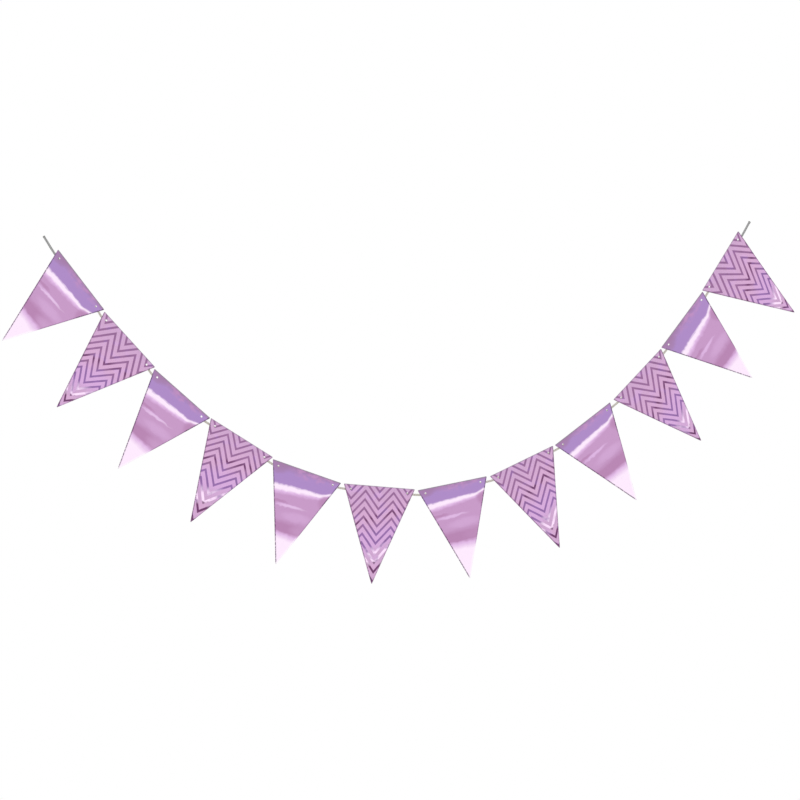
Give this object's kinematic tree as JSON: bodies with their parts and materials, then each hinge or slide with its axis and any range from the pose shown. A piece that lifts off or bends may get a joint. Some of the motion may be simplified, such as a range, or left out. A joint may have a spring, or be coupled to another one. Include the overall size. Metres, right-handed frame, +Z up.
{
  "type": "pennant bunting banner of foil card on a cord",
  "caption": "Swagged pennant bunting: triangular foil cards, plain mirror foil and chevron stripes by turns, punched at both top corners and strung on a grey cord.",
  "frame": {"origin": "the left free end of the cord, on the cord's axis, where the cord is tied or hooked up", "axes": "+X to the right along the banner, +Z up, the front of the cards faces -Y and the cord runs behind them"},
  "size_m": [1.6721, 0.0094, 0.7511],
  "materials": {
    "mirror_foil": "card faced with lilac mirror foil, high gloss, with soft streaked reflections",
    "chevron_card": "light orchid card with stamped mauve foil chevron lines",
    "cord": "grey twisted cord, matt"
  },
  "bodies": {
    "root": {"pennant_01_plain": "mirror_foil", "pennant_02_chevron": "chevron_card", "pennant_03_plain": "mirror_foil", "pennant_04_chevron": "chevron_card", "pennant_05_plain": "mirror_foil", "pennant_06_chevron": "chevron_card", "pennant_07_plain": "mirror_foil", "pennant_08_chevron": "chevron_card", "pennant_09_plain": "mirror_foil", "pennant_10_chevron": "chevron_card", "pennant_11_plain": "mirror_foil", "pennant_12_chevron": "chevron_card", "cord": "cord"}
  },
  "joints": []
}
